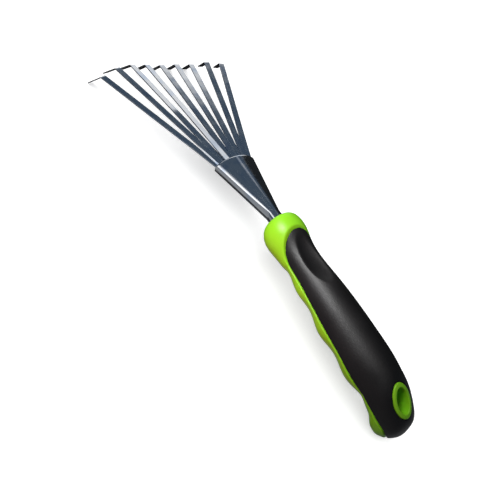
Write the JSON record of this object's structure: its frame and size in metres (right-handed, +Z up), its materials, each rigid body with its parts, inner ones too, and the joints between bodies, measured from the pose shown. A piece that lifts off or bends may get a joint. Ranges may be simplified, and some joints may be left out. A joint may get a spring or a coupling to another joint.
{
  "type": "hand rake",
  "caption": "One-hand fan rake with flat sprung steel tines hooked at the tips, a pressed steel socket and a lime green handle with a black soft grip.",
  "frame": {"origin": "on the ground, under the middle of the rake's length, on its mid-plane", "axes": "+X from the butt of the handle to the tine tips, +Y to the left, +Z up; the rake lies on its tips and the heel of its handle"},
  "size_m": [0.3708, 0.1309, 0.0427],
  "materials": {
    "tine_steel": "bright, lightly brushed along the strip",
    "socket_steel": "polished, with soft grain",
    "plate_steel": "dull",
    "core_plastic": "satin gloss",
    "grip_rubber": "matte, fine grain"
  },
  "bodies": {
    "root": {"tine_1": "tine_steel", "tine_2": "tine_steel", "tine_3": "tine_steel", "tine_4": "tine_steel", "tine_5": "tine_steel", "tine_6": "tine_steel", "tine_7": "tine_steel", "tine_8": "tine_steel", "tine_9": "tine_steel", "tine_socket": "socket_steel", "tine_backing_plate": "plate_steel", "handle_core": "core_plastic", "grip": "grip_rubber"}
  },
  "joints": []
}
